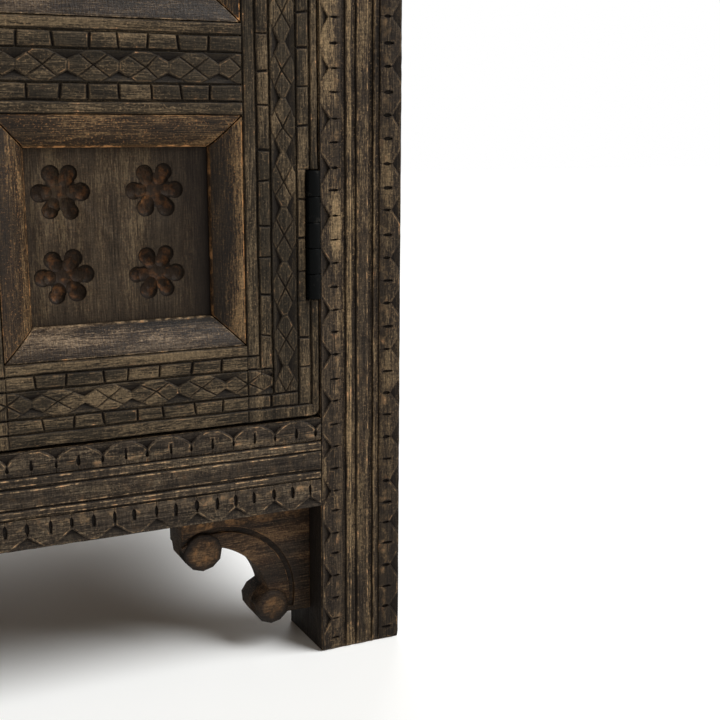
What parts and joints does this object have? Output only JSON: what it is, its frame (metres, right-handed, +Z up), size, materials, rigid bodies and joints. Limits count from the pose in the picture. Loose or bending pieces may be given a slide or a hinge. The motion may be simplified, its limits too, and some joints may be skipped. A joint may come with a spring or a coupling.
{
  "type": "nightstand",
  "caption": "Carved hardwood nightstand: square posts, panelled hinged doors with chip-carved frames and rosettes, a carved apron and C-scroll brackets.",
  "frame": {"origin": "on the floor, under the middle of the top board", "axes": "+Z up, +X to the right seen from the front, +Y to the back; the doors face -Y"},
  "size_m": [0.61, 0.406, 0.6545],
  "materials": {
    "carved_wood": "dark grey-brown stain, worn along the carved edges",
    "panel_wood": "dark stain with vertical grain",
    "case_wood": "thin brown stain",
    "black_painted_steel": "satin black paint"
  },
  "bodies": {
    "case": {"apron_front": "carved_wood", "back_panel": "panel_wood", "back_rail_lower": "carved_wood", "back_rail_upper": "carved_wood", "bottom_board": "case_wood", "door_stop": "case_wood", "frieze_front": "carved_wood", "front_post_left": "carved_wood", "front_post_right": "carved_wood", "left_hinge_lower_pin": "black_painted_steel", "left_hinge_lower_post_leaf": "black_painted_steel", "left_hinge_upper_pin": "black_painted_steel", "left_hinge_upper_post_leaf": "black_painted_steel", "rear_post_left": "carved_wood", "rear_post_right": "carved_wood", "right_hinge_lower_pin": "black_painted_steel", "right_hinge_lower_post_leaf": "black_painted_steel", "right_hinge_upper_pin": "black_painted_steel", "right_hinge_upper_post_leaf": "black_painted_steel", "scroll_bracket_left": "carved_wood", "scroll_bracket_right": "carved_wood", "shelf": "case_wood", "shelf_cleat_left": "case_wood", "shelf_cleat_right": "case_wood", "side_panel_left": "panel_wood", "side_panel_right": "panel_wood", "side_rail_lower_left": "carved_wood", "side_rail_lower_right": "carved_wood", "side_rail_upper_left": "carved_wood", "side_rail_upper_right": "carved_wood", "top_batten_left": "case_wood", "top_batten_right": "case_wood", "top_board": "carved_wood"},
    "left_door": {"left_door_bottom_rail": "carved_wood", "left_door_hinge_stile": "carved_wood", "left_door_knob": "black_painted_steel", "left_door_meeting_stile": "carved_wood", "left_door_mid_rail": "carved_wood", "left_door_moulding_lower": "carved_wood", "left_door_moulding_upper": "carved_wood", "left_door_panel_lower": "panel_wood", "left_door_panel_upper": "panel_wood", "left_door_top_rail": "carved_wood", "left_hinge_lower_door_leaf": "black_painted_steel", "left_hinge_upper_door_leaf": "black_painted_steel"},
    "right_door": {"right_door_bottom_rail": "carved_wood", "right_door_hinge_stile": "carved_wood", "right_door_knob": "black_painted_steel", "right_door_meeting_stile": "carved_wood", "right_door_mid_rail": "carved_wood", "right_door_moulding_lower": "carved_wood", "right_door_moulding_upper": "carved_wood", "right_door_panel_lower": "panel_wood", "right_door_panel_upper": "panel_wood", "right_door_top_rail": "carved_wood", "right_hinge_lower_door_leaf": "black_painted_steel", "right_hinge_upper_door_leaf": "black_painted_steel"}
  },
  "joints": [
    {"name": "left_door_swing", "type": "hinge", "parent": "case", "child": "left_door", "pos_m": [-0.2289, -0.183, 0.361], "axis": [0, 0, -1], "range_deg": [0, 170]},
    {"name": "right_door_swing", "type": "hinge", "parent": "case", "child": "right_door", "pos_m": [0.2289, -0.183, 0.361], "axis": [0, 0, 1], "range_deg": [0, 170]}
  ]
}
